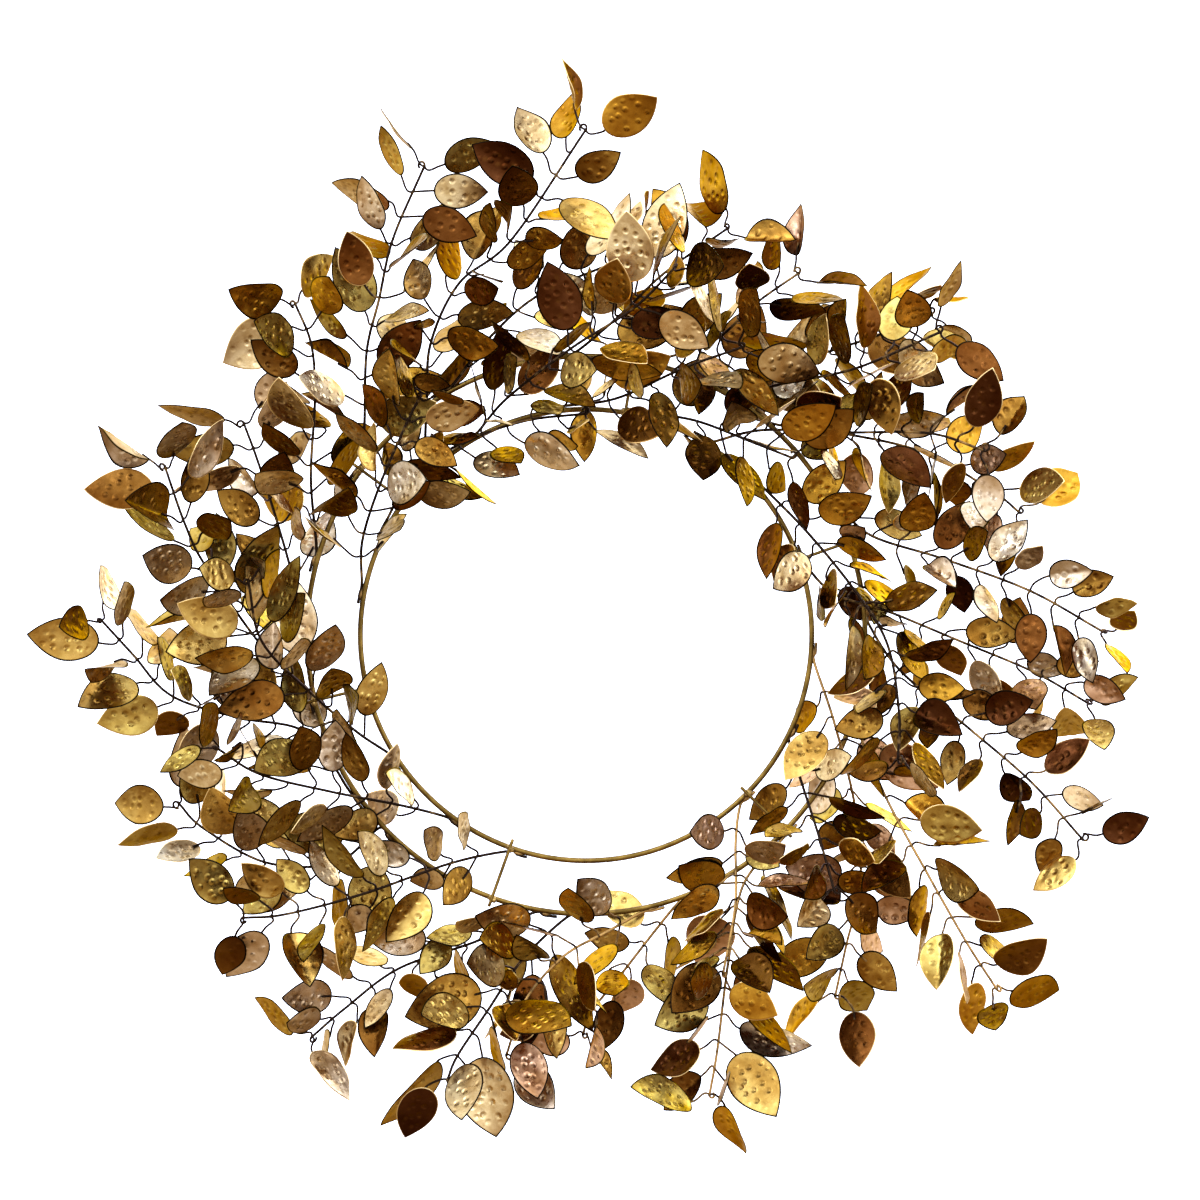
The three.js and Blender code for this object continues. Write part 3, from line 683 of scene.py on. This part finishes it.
class Sheet:
    """The pressed shape of one leaf: x runs to the tip, y across, and height is above the flat.

    ease is the share of that shape that it keeps, and its petiole of its curves.
    """

    def __init__(self, leaf):
        self.leaf = leaf
        self.cup = leaf.pick(CUP, 20)
        folded = leaf.pick((0, 1), 29) < SHARP_FOLDS
        self.fold = leaf.pick(SHARP_FOLD if folded else FOLD, 21)
        self.bend = leaf.pick(BEND, 22)
        self.twist = leaf.pick(TWIST, 23)
        self.ripple = leaf.pick(RIPPLE, 24)
        self.phase = leaf.pick((0, 2 * math.pi), 25)
        self.bow = leaf.pick(BOW, 26)
        self.side = -1 if leaf.pick((0, 1), 28) < SUNK_SHARE else 1
        self.ease = 1.0
        count = int(leaf.pick(BUMPS, 27))
        self.bumps = [self.bump(i, count) for i in range(count)]

    def bump(self, i, count):
        leaf = self.leaf
        share = between(BUMP_FIELD, (i + leaf.pick(BUMP_STRAY, 30 + i)) / count)
        way = (1 if i % 2 else -1) * leaf.pick(BUMP_OUT, 40 + i)
        height = leaf.pick(BUMP_HEIGHT, 50 + i) * self.side
        width = leaf.pick(BUMP_WIDTH, 60 + i) * leaf.length / BUMP_LEAF
        return share * leaf.length, way * half_width(leaf.width, share), height, width

    def height(self, x, y):
        leaf = self.leaf
        share = x / leaf.length
        across = y / (leaf.width / 2)
        shape = self.cup * leaf.width * across**2
        shape += self.fold * leaf.width / 2 * (np.sqrt(across**2 + FOLD_ROUNDING) - FOLD_DROP)
        shape += self.bend * leaf.length * share**2 / 2
        shape += self.twist * y * (share - TWIST_CENTRE)
        turns = RIPPLE_TURNS[0] * share + RIPPLE_TURNS[1] * across
        shape += self.ripple * np.sin(turns + self.phase) * across**2
        return self.ease * (shape + self.bumped(x, y)[0])

    def bumped(self, x, y):
        """(how high the bumps stand, how deep in a bump each point is from 0 to 1)"""
        height = np.zeros_like(x)
        depth = np.zeros_like(x)
        for bump_x, bump_y, bump_height, bump_width in self.bumps:
            near = np.exp(-((x - bump_x) ** 2 + (y - bump_y) ** 2) / (2 * bump_width**2))
            height += bump_height * near
            depth = np.maximum(depth, near)
        return height, depth

    def dents(self, x, y, front_count):
        """Where each point lies among the dents, in pitches, and which way they stand there."""
        leaf = self.leaf
        share = x / leaf.length
        low, high = DENT_FIELD
        low_fade, high_fade = DENT_FADES
        ends = np.clip((share - low) / low_fade, 0, 1) * np.clip((high - share) / high_fade, 0, 1)
        out = abs(y) / (half_width(leaf.width, share) + 0.01)  # never divided by zero
        sides = np.clip((DENT_SIDE - out) / DENT_SIDE_FADE, 0, 1)
        ways = np.where(np.arange(len(x)) < front_count, self.side, -self.side)
        along = x / DENT_PITCH + leaf.pick(DENT_SHIFT, 90)
        across = y / DENT_PITCH + leaf.pick(DENT_SHIFT, 91)
        return np.stack([along, across, ends * sides * ways], axis=-1)

    def place(self, x, y, above):
        """Points in the wreath's frame, a distance above the sheet's middle surface."""
        leaf = self.leaf
        side = y + self.ease * self.bow * leaf.length * (x / leaf.length) ** 2
        lift = self.height(x, y) + above
        flat = leaf.base + np.outer(x, leaf.axis) + np.outer(side, leaf.across)
        return flat + np.outer(lift, leaf.normal)

    def spots(self):
        """Where the mesh's points lie: x, y, and how far above the sheet's middle surface."""
        leaf = self.leaf
        edge_out = EDGE_WAYS * half_width(leaf.width, EDGE_SHARES)
        edge = np.stack([EDGE_SHARES * leaf.length, edge_out], axis=-1)
        centre = np.array([WIDEST_AT * leaf.length, 0.0])
        out = edge - centre
        out_unit = out / np.linalg.norm(out, axis=1)[:, None]
        inner = edge - out_unit * RIM
        rings = [centre + (inner - centre) * share for share in LEAF_RINGS]
        flat = np.vstack([centre[None], *rings, inner, edge])
        beyond = edge + out_unit * SHEET * ROUNDED_EDGE
        x, y = np.vstack([flat, flat, beyond]).T
        front = np.full(len(flat), SHEET / 2)
        return x, y, np.concatenate([front, -front, np.zeros(len(edge))])


def stained(leaf, share, colour):
    """The leaf's colour at each point, darkened towards its base or its tip as heat does."""
    end = share if leaf.pick((0, 1), 84) < 0.5 else 1 - share
    stain = leaf.pick(STAIN, 83) * np.clip(end, 0, 1) ** 2
    return colour * (1 - np.outer(stain, STAIN_TINT))


def add_leaf(body, sheet, colour):
    leaf = sheet.leaf
    x, y, above = sheet.spots()
    count = len(EDGE_SHARES)
    front = (len(x) - count) // 2
    face_rim = np.concatenate([np.zeros(front - count), np.ones(count)])
    near_tip = np.clip((x[:front] / leaf.length - TIP_STAIN_START) / TIP_STAIN_FADE, 0, 1)
    face_rim = np.maximum(face_rim, TIP_STAIN * near_tip)
    # A few leaves get a painted highlight along the border in place of the dark one.
    worn = leaf.pick((0, 1), 82) < PAINTED_HIGHLIGHT_RIMS
    rim = np.concatenate([face_rim, face_rim, np.ones(count)]) * (-1 if worn else 1)
    points = sheet.place(x, y, above)
    tones = stained(leaf, x / leaf.length, colour)
    dents = sheet.dents(x, y, front)
    depth = sheet.bumped(x, y)[1]
    body.add_mixed(points, LEAF_QUADS, LEAF_TRIANGLES, tone=tones, rim=rim, dents=dents, hollow=depth)


def petiole_lines(sheet):
    """(the S from the stem to a leaf, the wire's end that lies on the leaf's sheet)"""
    leaf = sheet.leaf
    hidden = 1 if leaf.normal[1] > 0 else -1
    face = -hidden if leaf.pick((0, 1), 70) < PETIOLES_IN_FRONT else hidden
    lift = face * (SHEET / 2 + PETIOLE_LIFT)
    lap_x = np.linspace(PETIOLE_LAP_START, leaf.pick(PETIOLE_OVERLAP, 71), PETIOLE_LAP_SECTIONS)
    lap = sheet.place(lap_x, np.zeros(len(lap_x)), np.full(len(lap_x), lift))
    reach = np.linalg.norm(lap[0] - leaf.root) * PETIOLE_SWING * sheet.ease
    way_out = unit(leaf.turn - leaf.along * leaf.pick(PETIOLE_BACK, 72)) * reach
    way_in = unit(lap[1] - lap[0]) * reach
    wave = unit(leaf.along) * leaf.pick(PETIOLE_WAVE, 73) * sheet.ease
    u = np.linspace(0, 1, PETIOLE_SECTIONS)[:-1, None]
    curve = (2 * u**3 - 3 * u**2 + 1) * leaf.root + (u**3 - 2 * u**2 + u) * way_out
    curve = curve + (3 * u**2 - 2 * u**3) * lap[0] + (u**3 - u**2) * way_in
    return curve - wave * np.sin(2 * math.pi * u) * (1 - u), lap


def add_petiole(body, sheet):
    add_tube(body, np.vstack(petiole_lines(sheet)), PETIOLE_RADIUS, PETIOLE_SIDES)


def add_leaf_bead(body, sheet):
    lap = petiole_lines(sheet)[1]
    add_bead(body, lap[1], lap[2] - lap[0], LEAF_BEAD, sheet.leaf.place)


def add_hook(body, stem):
    """The small open loop that the end of a stem is bent into."""
    way = stem.alongs[-1]
    side = stem.turns[-1]
    radius = between(HOOK_RADIUS, chance(stem.number, 0, 100))
    angles = np.linspace(0, HOOK_TURN, HOOK_SECTIONS)[:, None]
    start = stem.stations[-1]
    points = start + radius * (np.sin(angles) * way + (1 - np.cos(angles)) * side)
    add_tube(body, points, HOOK_WIRE_RADIUS, STEM_SIDES)


def add_stem(body, stem):
    steps = round(stem.route.length / STEM_STEP)
    radii = np.linspace(STEM_START_RADIUS, STEM_END_RADIUS, steps + 1)
    add_tube(body, stem.route.spaced(steps), radii, STEM_SIDES)
    add_hook(body, stem)


# ---- leaves that would cut something


class Solid:
    """The surface of a shape and the box round it, to find what it cuts."""

    def __init__(self, points, faces):
        self.surface = BVHTree.FromPolygons(points.tolist(), faces)
        self.low = points.min(axis=0)
        self.high = points.max(axis=0)

    def cuts(self, others):
        """The numbers of the other solids that this one cuts."""
        lows = np.array([other.low for other in others])
        highs = np.array([other.high for other in others])
        near = (lows <= self.high).all(axis=1) & (highs >= self.low).all(axis=1)
        return [i for i in np.nonzero(near)[0].tolist() if self.surface.overlap(others[i].surface)]


def drawn(add, *shape):
    """The solid of what a function adds to a body."""
    body = Body()
    add(body, *shape)
    return Solid(np.vstack(body.points), body.faces)


def blade(sheet):
    return Solid(sheet.place(*sheet.spots()), LEAF_FACES)


def leaves_cut(blades, petioles, i):
    """The numbers of the other leaves that a leaf's blade or petiole cuts."""
    found = {*blades[i].cuts(blades), *blades[i].cuts(petioles), *petioles[i].cuts(blades)}
    return found - {i}


def flatten_clashes(sheets, stems):
    """Flatten, step by step, the leaves that would cut a wire or one another."""
    frame_wires = [drawn(add_ring, radius) for radius in (INNER, OUTER)]
    frame_wires += [drawn(add_cross_wire, degrees) for degrees in CROSS_WIRE_ANGLES]
    fixed = frame_wires + [drawn(add_stem, stem) for stem in stems]
    blades = [blade(sheet) for sheet in sheets]
    petioles = [drawn(add_petiole, sheet) for sheet in sheets]
    changed = range(len(sheets))
    for _ in range(MOST_EASINGS):
        clashing = set()
        for i in changed:
            others = leaves_cut(blades, petioles, i)
            if others or blades[i].cuts(fixed) or petioles[i].cuts(frame_wires):
                clashing |= {i, *others}
        changed = sorted(clashing)
        for i in changed:
            sheets[i].ease *= EASE
            blades[i] = blade(sheets[i])
            petioles[i] = drawn(add_petiole, sheets[i])


# ---- sprays


def build_spray(stem, sheets, leaf_metal, stem_metal):
    """Two pieces: the soldered wires, and the leaves."""
    wires = Body()
    shine = SHINES[stem.mix]
    add_stem(wires, stem)
    wires.fill("shine", shine)
    add_bead(wires, stem.weld, stem.alongs[0], FOOT_BEAD, stem.number)
    wires.fill("shine", WELD_SHINE)
    for i in sorted({sheet.leaf.place // 2 for sheet in sheets}):
        add_bead(wires, stem.stations[i], stem.alongs[i], CROSSING_BEAD, i)
    blades = Body()
    for sheet in sheets:
        leaf = sheet.leaf
        mix = MIXES[stem.mix].split()
        tone = mix[int(chance(stem.number, leaf.place, 80) * len(mix))]
        shade = leaf.pick(SHADE, 81)
        add_leaf(blades, sheet, np.array(linear(TONES[tone])) * shade)
        add_petiole(wires, sheet)
        add_leaf_bead(wires, sheet)
    name = f"spray_{stem.number + 1:02d}"
    wires.fill("shine", shine * THIN_WIRE_SHINE)
    wires.finish(name + "_wires", stem_metal, "stem_wire", name)
    blades.finish(name + "_leaves", leaf_metal, "leaf_sheet", name)


# ---- the frame


def add_ring(body, radius):
    points = [on_ring(radius, i * 360 / RING_FINE_STEPS) for i in range(RING_FINE_STEPS)]
    add_tube(body, points, RING_WIRE_RADIUS, RING_FINE_SIDES, closed=True)


def add_cross_wire(body, degrees):
    reach = RING_WIRE_RADIUS + CROSS_WIRE_END
    radii = np.linspace(INNER - reach, OUTER + reach, CROSS_WIRE_SECTIONS)
    points = [cross_wire_point(radius, degrees) for radius in radii]
    add_tube(body, points, CROSS_WIRE_RADIUS, CROSS_WIRE_FINE_SIDES)


def build_frame(metal):
    wires = [
        ("inner_ring", "_wire", add_ring, INNER),
        ("outer_ring", "_wire", add_ring, OUTER),
    ]
    for i, degrees in enumerate(CROSS_WIRE_ANGLES):
        wires.append((f"cross_wire_{i + 1}", "_rod", add_cross_wire, degrees))
    for node, ending, add, size in wires:
        body = Body()
        add(body, size)
        body.finish(node + ending, metal, "frame_wire", node)


def build_welds(metal):
    """Lumps of weld where each cross wire lies on a ring."""
    welds = Body()
    depth = -(RING_WIRE_RADIUS + WELD_GAP / 2)
    out, degrees_round, forwards = SMALL_WELD_SHIFT
    for i, degrees in enumerate(CROSS_WIRE_ANGLES):
        for j, radius in enumerate((INNER, OUTER)):
            along_ring = on_ring(1, degrees + 90)
            seed = 2 * i + j
            large = on_ring(radius, degrees, depth)
            small = on_ring(radius + out, degrees + degrees_round, depth - forwards)
            add_bead(welds, large, along_ring, LARGE_WELD, seed)
            add_bead(welds, small, along_ring, SMALL_WELD, seed + 0.5)
    welds.finish("frame_welds", metal, "frame_wire")


# ---- materials

DENT_SCATTER = 0.62  # 0 is a square grid of dents
DENT_SIZE = (0.06, 0.36)  # in pitches: the radius of its flat middle and of the whole dent
# How dark a dent's middle is painted: tarnish and painted shade.
DENT_TARNISH_AND_SHADE = 0.36
GRAIN = 0.12  # how high the sheet's grain stands, where a dent's depth is 1


def linear(colour):
    """An sRGB colour with parts from 0 to 255, in linear light."""
    parts = [part / 255 for part in colour]
    return tuple(p / 12.92 if p <= 0.04045 else ((p + 0.055) / 1.055) ** 2.4 for p in parts)


def paint(*colour):
    return (*linear(colour), 1.0)


class Shader:
    """A short way to write a material's nodes."""

    def __init__(self, name, **settings):
        self.material = bpy.data.materials.new(name)
        self.material.use_nodes = True
        self.tree = self.material.node_tree
        self.surface = self.tree.nodes["Principled BSDF"]
        for key, value in settings.items():
            self.surface.inputs[key.replace("_", " ")].default_value = value

    def node(self, kind, **inputs):
        made = self.tree.nodes.new(kind)
        for key, value in inputs.items():
            self.feed(made.inputs[key.replace("_", " ")], value)
        return made

    def feed(self, socket, value):
        if isinstance(value, bpy.types.NodeSocket):
            self.tree.links.new(value, socket)
        else:
            socket.default_value = value

    def place(self):
        return self.node("ShaderNodeTexCoord").outputs["Object"]

    def noise(self, scale, detail=3.0, roughness=0.5):
        settings = {"Scale": scale, "Detail": detail, "Roughness": roughness}
        return self.node("ShaderNodeTexNoise", Vector=self.place(), **settings).outputs["Fac"]

    def mapped(self, value, from_low, from_high, to_low=0.0, to_high=1.0, kind="LINEAR"):
        limits = {"From Min": from_low, "From Max": from_high, "To Min": to_low, "To Max": to_high}
        made = self.node("ShaderNodeMapRange", Value=value, **limits)
        made.interpolation_type = kind
        return made.outputs["Result"]

    def mixed(self, share, first, second, how="MIX"):
        made = self.tree.nodes.new("ShaderNodeMix")
        made.data_type = "RGBA"
        made.blend_type = how
        # A colour mix has its share, first and second colour in these sockets.
        self.feed(made.inputs[0], share)
        self.feed(made.inputs[6], first)
        self.feed(made.inputs[7], second)
        return made.outputs[2]

    def attribute(self, name, output="Fac"):
        made = self.tree.nodes.new("ShaderNodeAttribute")
        made.attribute_name = name
        return made.outputs[output]

    def dents(self):
        """(how dark each point is, being in a dent, from tarnish and painted shade; how high it
        stands): dents and fine grain
        """
        place = self.attribute("dents", "Vector")
        split = self.node("ShaderNodeSeparateXYZ", Vector=place)
        cells = self.node("ShaderNodeTexVoronoi", Vector=place, Scale=1.0, Randomness=DENT_SCATTER)
        cells.voronoi_dimensions = "2D"
        near = self.mapped(cells.outputs["Distance"], *DENT_SIZE, 1.0, 0.0, "SMOOTHSTEP")
        pressed = self.maths("MULTIPLY", near, split.outputs["Z"])
        dark = self.mapped(self.maths("ABSOLUTE", pressed, 0.0), 0.6, 1.0, 0.0, DENT_TARNISH_AND_SHADE)
        grain = self.maths("MULTIPLY", self.noise(700, 2.0), GRAIN)
        return dark, self.maths("ADD", pressed, grain)

    def maths(self, how, first, second):
        made = self.tree.nodes.new("ShaderNodeMath")
        made.operation = how
        self.feed(made.inputs[0], first)
        self.feed(made.inputs[1], second)
        return made.outputs[0]

    def bump(self, height, strength, distance):
        made = self.node("ShaderNodeBump", Height=height, Strength=strength, Distance=distance)
        self.feed(self.surface.inputs["Normal"], made.outputs["Normal"])

    def colour(self, value):
        self.feed(self.surface.inputs["Base Color"], value)

    def roughness(self, scale, detail, low, high):
        uneven = self.mapped(self.noise(scale, detail), 0.3, 0.7, low, high)
        self.feed(self.surface.inputs["Roughness"], uneven)


def leaf_material():
    """Lacquered sheet metal: clouded colour, dents and bumps darkened with tarnish and painted shade,
    and a dark border, partly painted shade, that on a few leaves is a painted highlight instead.
    """
    shader = Shader("leaf_sheet", Metallic=1.0, Specular_Tint=paint(232, 208, 168))
    tone = shader.attribute("tone", "Color")
    cloud = shader.mapped(shader.noise(30, 2.0, 0.5), 0.42, 0.62, 0.0, 0.75)
    clouded = shader.mixed(cloud, tone, paint(182, 150, 96), "MULTIPLY")
    mottle = shader.mapped(shader.noise(140, 4.0, 0.6), 0.35, 0.7, 0.0, 0.8)
    mottled = shader.mixed(mottle, clouded, paint(204, 187, 150), "MULTIPLY")
    dent_tarnish_and_shade, height = shader.dents()
    # Both sunk and raised bumps are darker towards their middles: tarnish and painted shade.
    hollow = shader.mapped(shader.attribute("hollow"), 0.5, 1.0, 0.0, 0.4)
    bump_tarnished_and_shaded = shader.mixed(hollow, mottled, paint(88, 52, 16))
    # Darker in the dents: tarnish and painted shade.
    dent_tarnished_and_shaded = shader.mixed(dent_tarnish_and_shade, bump_tarnished_and_shaded, paint(58, 32, 10))
    # The dark border is partly the edges' own dark lacquer and partly painted shade along the edge.
    dark_rim = shader.mapped(shader.attribute("rim"), 0.1, 0.42)
    # The border's painted highlight, in pale brass, on the leaves picked for it.
    painted_highlight_rim = shader.mapped(shader.attribute("rim"), -0.55, -0.85, 0.0, 0.85)
    bordered = shader.mixed(dark_rim, dent_tarnished_and_shaded, paint(15, 8, 4))
    shader.colour(shader.mixed(painted_highlight_rim, bordered, paint(226, 190, 124)))
    shader.roughness(260, 3.0, 0.22, 0.42)
    shader.bump(height, 1.0, 0.0006)
    return shader.material


def stem_material():
    """Dark lacquered wire; its brass shows through where shine is high."""
    tint = paint(230, 190, 146)
    shader = Shader("stem_wire", Metallic=0.6, Specular_Tint=tint, Specular_IOR_Level=0.25)
    worn = shader.maths("ADD", shader.noise(120, 3.0), shader.attribute("shine"))
    bright = shader.mapped(worn, 0.6, 0.9)
    shader.colour(shader.mixed(bright, paint(24, 13, 6), paint(156, 116, 60)))
    shader.roughness(400, 2.0, 0.34, 0.5)
    shader.bump(shader.noise(900, 2.0), 0.2, 0.0002)
    return shader.material


def frame_material():
    """Olive-brown lacquered ring wire, brassier where it is worn."""
    shader = Shader("frame_wire", Metallic=1.0)
    worn = shader.mapped(shader.noise(60, 4.0, 0.6), 0.4, 0.65)
    shader.colour(shader.mixed(worn, paint(84, 62, 23), paint(128, 98, 42)))
    shader.roughness(500, 2.0, 0.25, 0.42)
    shader.bump(shader.noise(800, 2.0), 0.2, 0.0002)
    return shader.material


def weld_material():
    """Rough brassy weld metal with burnt patches."""
    shader = Shader("weld_metal", Metallic=1.0)
    burnt = shader.mapped(shader.noise(500, 3.0), 0.4, 0.65)
    shader.colour(shader.mixed(burnt, paint(176, 140, 74), paint(70, 46, 22)))
    shader.roughness(900, 2.0, 0.4, 0.65)
    shader.bump(shader.noise(1200, 3.0), 0.5, 0.0005)
    return shader.material


def stage_material(name, level, glow):
    """Plain white or grey that may glow."""
    white = paint(level, level, level)
    glowing = {"Emission_Color": white, "Emission_Strength": glow}
    return Shader(name, Base_Color=white, Roughness=0.9, **glowing).material


# ---- stage, lights, camera

VIEW_CENTRE = (0.0089, 0.0, -0.1539)
VIEW_WIDTH = 0.7656  # of the picture, where the rings are
CAMERA_DISTANCE = 2.6
FLOOR_HEIGHT = -1.35
ROOM_RADIUS = 4.0  # the camera stays inside from every side
ROOM_CORNER = 0.2
ROOM_CORNER_STEPS = 8
ROOM_HEIGHT = 5.0
ROOM_SIDES = 96
FLOOR_LEVEL = 190  # sRGB, from 0 to 255, as is WALL_LEVEL
WALL_LEVEL = 250
LAMP_COLOUR = (0.74, 0.94, 1.5)  # cool, so that the brightest metal is the least yellow
LAMPS = [  # name, place, size, and power in watts
    ("key", (-1.3, -1.5, 1.3), (1.2, 1.2), 26),
    ("fill", (1.7, -1.2, 0.2), (0.6, 1.4), 12),
    ("top", (0.2, -0.2, 1.5), (1.6, 0.6), 8),
    ("back", (1.4, 2.2, 1.0), (1.6, 1.2), 26),
]
WORLD_HEIGHTS = (-0.6, 0.5)  # of a direction: straight down is -1 and straight up is 1
WORLD_BELOW = (0.18, 0.145, 0.112, 1)
WORLD_ABOVE = (0.62, 0.71, 0.92, 1)
WORLD_STRENGTH = 4.5


def add_turned(name, profile, material):
    """A stage surface: a profile of (distance from the middle, height) turned about the z axis."""
    count = len(profile)
    points, faces = [], []
    for i in range(ROOM_SIDES):
        angle = 2 * math.pi * i / ROOM_SIDES
        points += [(r * math.cos(angle), r * math.sin(angle), z) for r, z in profile]
        here = i * count
        there = (i + 1) % ROOM_SIDES * count
        faces += [(here + k, there + k, there + k + 1, here + k + 1) for k in range(count - 1)]
    surface = add_object(name, smooth_mesh(name, points, faces, material))
    surface.visible_glossy = False
    surface.visible_diffuse = False
    surface.visible_shadow = False


def add_room():
    """A pale floor that curves up into a round white wall. The metal mirrors the world, not them."""
    corner_radius = ROOM_RADIUS - ROOM_CORNER
    corner = []
    for i in range(ROOM_CORNER_STEPS + 1):
        angle = math.pi / 2 * i / ROOM_CORNER_STEPS
        out = corner_radius + ROOM_CORNER * math.sin(angle)
        corner.append((out, FLOOR_HEIGHT + ROOM_CORNER * (1 - math.cos(angle))))
    floor_profile = [(0.001, FLOOR_HEIGHT), *corner]
    add_turned("floor", floor_profile, stage_material("floor", FLOOR_LEVEL, 0.0))
    wall_profile = [corner[-1], (ROOM_RADIUS, ROOM_HEIGHT)]
    add_turned("wall", wall_profile, stage_material("wall", WALL_LEVEL, 1.0))


def add_light(name, place, size, power):
    """A lamp that points at the middle of the picture."""
    lamp = bpy.data.lights.new(name, "AREA")
    lamp.shape = "RECTANGLE"
    lamp.size, lamp.size_y = size
    lamp.energy = power
    lamp.color = LAMP_COLOUR
    light = add_object(name, lamp)
    light.location = place
    light.rotation_mode = "QUATERNION"
    light.rotation_quaternion = (Vector(VIEW_CENTRE) - Vector(place)).to_track_quat("-Z", "Y")


def set_world():
    """A soft room that the metal mirrors: bright and cool above, dim and warm below."""
    world = bpy.data.worlds.new("studio")
    world.use_nodes = True
    bpy.context.scene.world = world
    nodes, links = world.node_tree.nodes, world.node_tree.links
    place = nodes.new("ShaderNodeTexCoord")
    split = nodes.new("ShaderNodeSeparateXYZ")
    links.new(place.outputs["Generated"], split.inputs[0])
    height = nodes.new("ShaderNodeMapRange")
    for limit, value in zip(("From Min", "From Max"), WORLD_HEIGHTS):
        height.inputs[limit].default_value = value
    ramp = nodes.new("ShaderNodeValToRGB")
    ramp.color_ramp.elements[0].color = WORLD_BELOW
    ramp.color_ramp.elements[1].color = WORLD_ABOVE
    links.new(split.outputs["Z"], height.inputs["Value"])
    links.new(height.outputs["Result"], ramp.inputs["Fac"])
    links.new(ramp.outputs["Color"], nodes["Background"].inputs["Color"])
    nodes["Background"].inputs["Strength"].default_value = WORLD_STRENGTH


def add_camera():
    data = bpy.data.cameras.new("camera")
    data.sensor_width = 36
    data.lens = data.sensor_width * CAMERA_DISTANCE / VIEW_WIDTH
    camera = add_object("camera", data)
    x, y, z = VIEW_CENTRE
    camera.location = (x, y - CAMERA_DISTANCE, z)
    camera.rotation_euler = (math.pi / 2, 0, 0)
    bpy.context.scene.camera = camera


# ---- everything


def build_wreath():
    stems = [Stem(number, spray) for number, spray in enumerate(SPRAYS)]
    sheets = [Sheet(leaf) for leaf in grow_leaves(stems, all_wires(stems))]
    flatten_clashes(sheets, stems)
    leaf_metal = leaf_material()
    stem_metal = stem_material()
    for stem in stems:
        own = [sheet for sheet in sheets if sheet.leaf.spray == stem.number]
        build_spray(stem, own, leaf_metal, stem_metal)
    build_frame(frame_material())
    build_welds(weld_material())


build_wreath()
add_room()
for lamp_settings in LAMPS:
    add_light(*lamp_settings)
set_world()
add_camera()
bpy.context.scene.view_settings.view_transform = "Standard"
